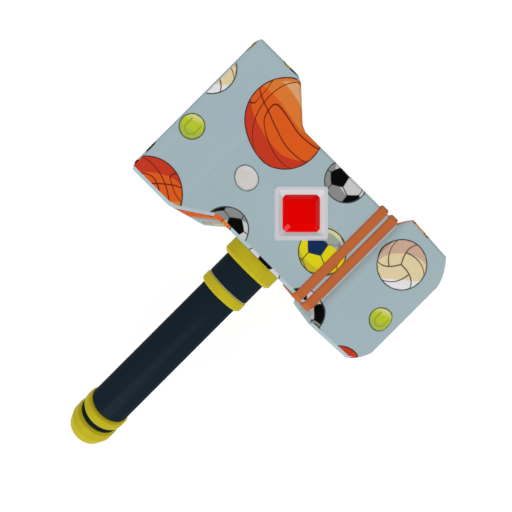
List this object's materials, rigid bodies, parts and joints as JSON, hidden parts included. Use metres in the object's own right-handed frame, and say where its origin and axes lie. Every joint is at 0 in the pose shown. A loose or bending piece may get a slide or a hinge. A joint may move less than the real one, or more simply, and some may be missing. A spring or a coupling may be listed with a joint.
{
  "type": "throwing hammer",
  "caption": "Toy throwing hammer: a square two-block mallet head printed with sports balls, a red push button in its face, and a round grip with a screw-off battery cap.",
  "frame": {"origin": "middle of the bounding box's bottom face, on the floor, with the hammer lying on its back", "axes": "+X along the head towards its smaller block, +Y up the handle towards the head, +Z out of the face that carries the red button; the handle's axis is the line x = -0.0030, z = 0.0585, and the head's axis is the line y = 0.0892, z = 0.0585"},
  "size_m": [0.2024, 0.2954, 0.117],
  "materials": {
    "head_blue": "satin moulded plastic, pale grey-blue, under printed balls",
    "band_orange": "satin moulded plastic",
    "bezel_silver": "silver-grey moulded plastic",
    "gem_red": "clear red, faceted and glossy",
    "ring_yellow": "semi-gloss moulded plastic",
    "sleeve_navy": "semi-gloss moulded plastic",
    "grip_navy": "soft matt grip",
    "seal_black": "matt rubber",
    "inner_white": "plain moulded plastic",
    "core_black": "plain moulded plastic",
    "steel": "plain bright steel",
    "board_green": "laminate with green solder mask",
    "component_black": "moulded black plastic",
    "lamp_clear": "clear lens",
    "speaker_black": "black cone and basket round a magnet",
    "cell_jacket": "plain grey sleeve on a metal can",
    "wire_red": "insulated wire",
    "wire_black": "insulated wire"
  },
  "bodies": {
    "hammer": {"band_inner": "band_orange", "band_outer": "band_orange", "button_guide": "inner_white", "button_spring": "steel", "button_switch": "component_black", "circuit_board": "board_green", "closing_screw_1": "steel", "closing_screw_2": "steel", "closing_screw_3": "steel", "closing_screw_4": "steel", "closing_screw_5": "steel", "closing_screw_6": "steel", "closing_screw_7": "steel", "closing_screw_8": "steel", "collar": "ring_yellow", "contact_plug": "inner_white", "gem_bezel": "bezel_silver", "gem_lamp_1": "lamp_clear", "gem_lamp_2": "lamp_clear", "grip_sleeve": "grip_navy", "handle_core": "core_black", "head_front_shell": "head_blue", "head_rear_shell": "head_blue", "lower_cell": "cell_jacket", "lower_ring": "ring_yellow", "middle_ring": "ring_yellow", "negative_lead": "wire_black", "pommel_seal": "seal_black", "positive_lead": "wire_red", "return_strip": "steel", "small_screw_1": "steel", "small_screw_2": "steel", "small_screw_3": "steel", "small_screw_4": "steel", "small_screw_5": "steel", "small_screw_6": "steel", "small_screw_7": "steel", "small_screw_8": "steel", "sound_chip": "component_black", "speaker": "speaker_black", "speaker_clamp": "inner_white", "speaker_lead_1": "wire_black", "speaker_lead_2": "wire_black", "speaker_screw_1": "steel", "speaker_screw_2": "steel", "speaker_screw_3": "steel", "tail_spring": "steel", "top_contact": "steel", "upper_cell": "cell_jacket", "upper_sleeve": "sleeve_navy"},
    "button": {"gem_button": "gem_red"},
    "carrier": {"tail_carrier": "inner_white", "tail_contact": "steel"},
    "pommel": {"pommel_cap": "ring_yellow"}
  },
  "joints": [
    {"name": "button_press", "type": "slide", "parent": "hammer", "child": "button", "axis": [0, 0, -1], "range_m": [0, 0.0025], "stiffness_N_per_m": 400, "springref_m": -0.002, "deforming": ["button_spring"]},
    {"name": "cap_travel", "type": "slide", "parent": "hammer", "child": "carrier", "axis": [0, -1, 0], "range_m": [0, 0.007], "deforming": ["tail_spring"]},
    {"name": "cap_turn", "type": "hinge", "parent": "carrier", "child": "pommel", "pos_m": [-0.003, -0.1377, 0.0585], "axis": [0, -1, 0], "range_deg": [0, 180]}
  ],
  "couplings": [
    {"joint": "cap_travel", "follows": "cap_turn", "m_per_rad": 0.002228}
  ]
}
